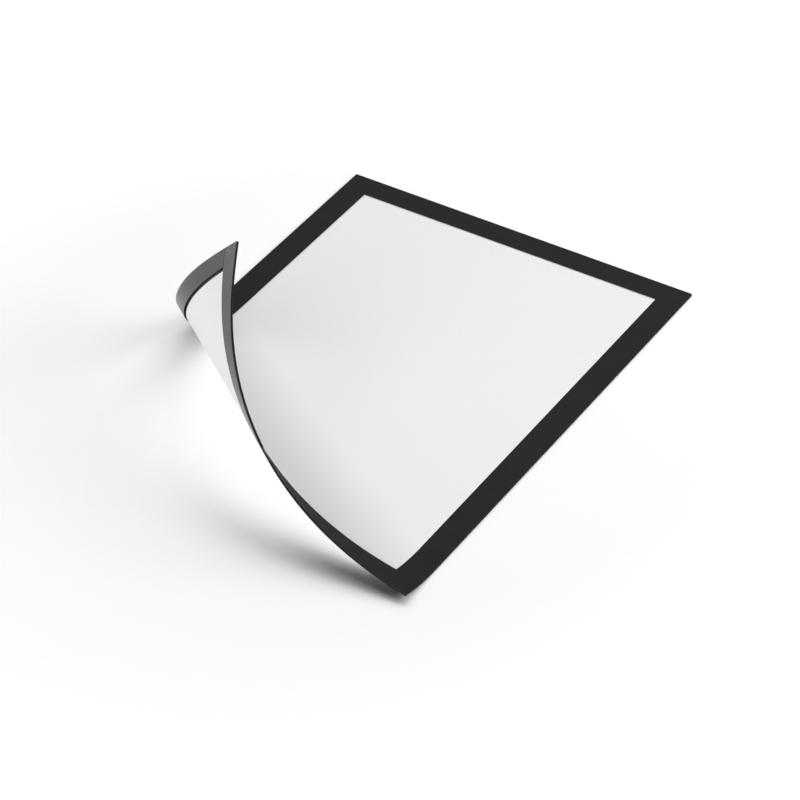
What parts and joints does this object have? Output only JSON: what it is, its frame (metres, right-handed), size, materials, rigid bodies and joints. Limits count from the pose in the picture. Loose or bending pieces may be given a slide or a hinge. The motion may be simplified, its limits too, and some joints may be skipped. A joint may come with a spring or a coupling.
{
  "type": "magnetic display frame",
  "caption": "Thin flexible magnetic frame that holds a sheet behind a clear window, lying flat with one corner peeled up in a smooth curl.",
  "frame": {"origin": "centre of the frame's outline on the surface that the magnet strips lie on", "axes": "+X to the right along the short side, +Y along the long side towards the top edge, +Z out of the front face"},
  "size_m": [0.2364, 0.323, 0.117],
  "materials": {
    "film": "clear, matt anti-glare face",
    "foil": "matt black foil",
    "magnet": "smooth calendered ferrite rubber",
    "paper": "plain white"
  },
  "bodies": {
    "frame": {"window_film": "film", "border": "foil", "magnet_top": "magnet", "magnet_left": "magnet", "magnet_right": "magnet", "insert_sheet": "paper"},
    "curl_1": {"window_film_curl_1": "film", "magnet_left_curl_1": "magnet", "magnet_bottom_curl_1": "magnet", "insert_sheet_curl_1": "paper", "magnet_right_curl_1": "magnet", "border_left_curl_1": "foil", "border_bottom_curl_1": "foil"},
    "curl_2": {"window_film_curl_2": "film", "magnet_left_curl_2": "magnet", "magnet_bottom_curl_2": "magnet", "insert_sheet_curl_2": "paper", "border_left_curl_2": "foil", "border_bottom_curl_2": "foil"},
    "curl_3": {"window_film_curl_3": "film", "magnet_left_curl_3": "magnet", "magnet_bottom_curl_3": "magnet", "insert_sheet_curl_3": "paper", "border_left_curl_3": "foil", "border_bottom_curl_3": "foil"},
    "curl_4": {"window_film_curl_4": "film", "magnet_left_curl_4": "magnet", "magnet_bottom_curl_4": "magnet", "insert_sheet_curl_4": "paper", "border_left_curl_4": "foil", "border_bottom_curl_4": "foil"},
    "curl_5": {"window_film_curl_5": "film", "magnet_left_curl_5": "magnet", "magnet_bottom_curl_5": "magnet", "insert_sheet_curl_5": "paper", "border_left_curl_5": "foil", "border_bottom_curl_5": "foil"},
    "curl_6": {"window_film_curl_6": "film", "magnet_left_curl_6": "magnet", "magnet_bottom_curl_6": "magnet", "insert_sheet_curl_6": "paper", "border_left_curl_6": "foil", "border_bottom_curl_6": "foil"},
    "curl_7": {"window_film_curl_7": "film", "magnet_left_curl_7": "magnet", "magnet_bottom_curl_7": "magnet", "insert_sheet_curl_7": "paper", "border_corner_curl_7": "foil"}
  },
  "joints": [
    {"name": "corner_peel", "type": "hinge", "parent": "frame", "child": "curl_1", "pos_m": [0, -0.05648, 0.0014], "axis": [-0.8482, 0.5296, 0], "range_deg": [-10.95, 4]},
    {"name": "curl_bend_2", "type": "hinge", "parent": "curl_1", "child": "curl_2", "pos_m": [-0.00246, -0.08179, 0.00581], "axis": [-0.8246, 0.5657, -0.0083], "range_deg": [-21.89, 8.01]},
    {"name": "curl_bend_3", "type": "hinge", "parent": "curl_2", "child": "curl_3", "pos_m": [-0.0249, -0.08941, 0.01795], "axis": [-0.8028, 0.5954, -0.0322], "range_deg": [-21.71, 7.94]},
    {"name": "curl_bend_4", "type": "hinge", "parent": "curl_3", "child": "curl_4", "pos_m": [-0.04142, -0.09316, 0.03566], "axis": [-0.7859, 0.6146, -0.0679], "range_deg": [-21.03, 7.7]},
    {"name": "curl_bend_5", "type": "hinge", "parent": "curl_4", "child": "curl_5", "pos_m": [-0.05157, -0.09214, 0.05631], "axis": [-0.7761, 0.6209, -0.1103], "range_deg": [-19.34, 7.08]},
    {"name": "curl_bend_6", "type": "hinge", "parent": "curl_5", "child": "curl_6", "pos_m": [-0.0555, -0.08657, 0.07738], "axis": [-0.774, 0.6143, -0.1537], "range_deg": [-15.88, 5.81]},
    {"name": "curl_bend_7", "type": "hinge", "parent": "curl_6", "child": "curl_7", "pos_m": [-0.05405, -0.07771, 0.09723], "axis": [-0.7782, 0.5973, -0.1942], "range_deg": [-9.67, 3.55]}
  ],
  "couplings": [
    {"joint": "curl_bend_2", "follows": "corner_peel", "ratio": 1.9975},
    {"joint": "curl_bend_3", "follows": "corner_peel", "ratio": 1.9804},
    {"joint": "curl_bend_4", "follows": "corner_peel", "ratio": 1.919},
    {"joint": "curl_bend_5", "follows": "corner_peel", "ratio": 1.7645},
    {"joint": "curl_bend_6", "follows": "corner_peel", "ratio": 1.448},
    {"joint": "curl_bend_7", "follows": "corner_peel", "ratio": 0.8817}
  ]
}
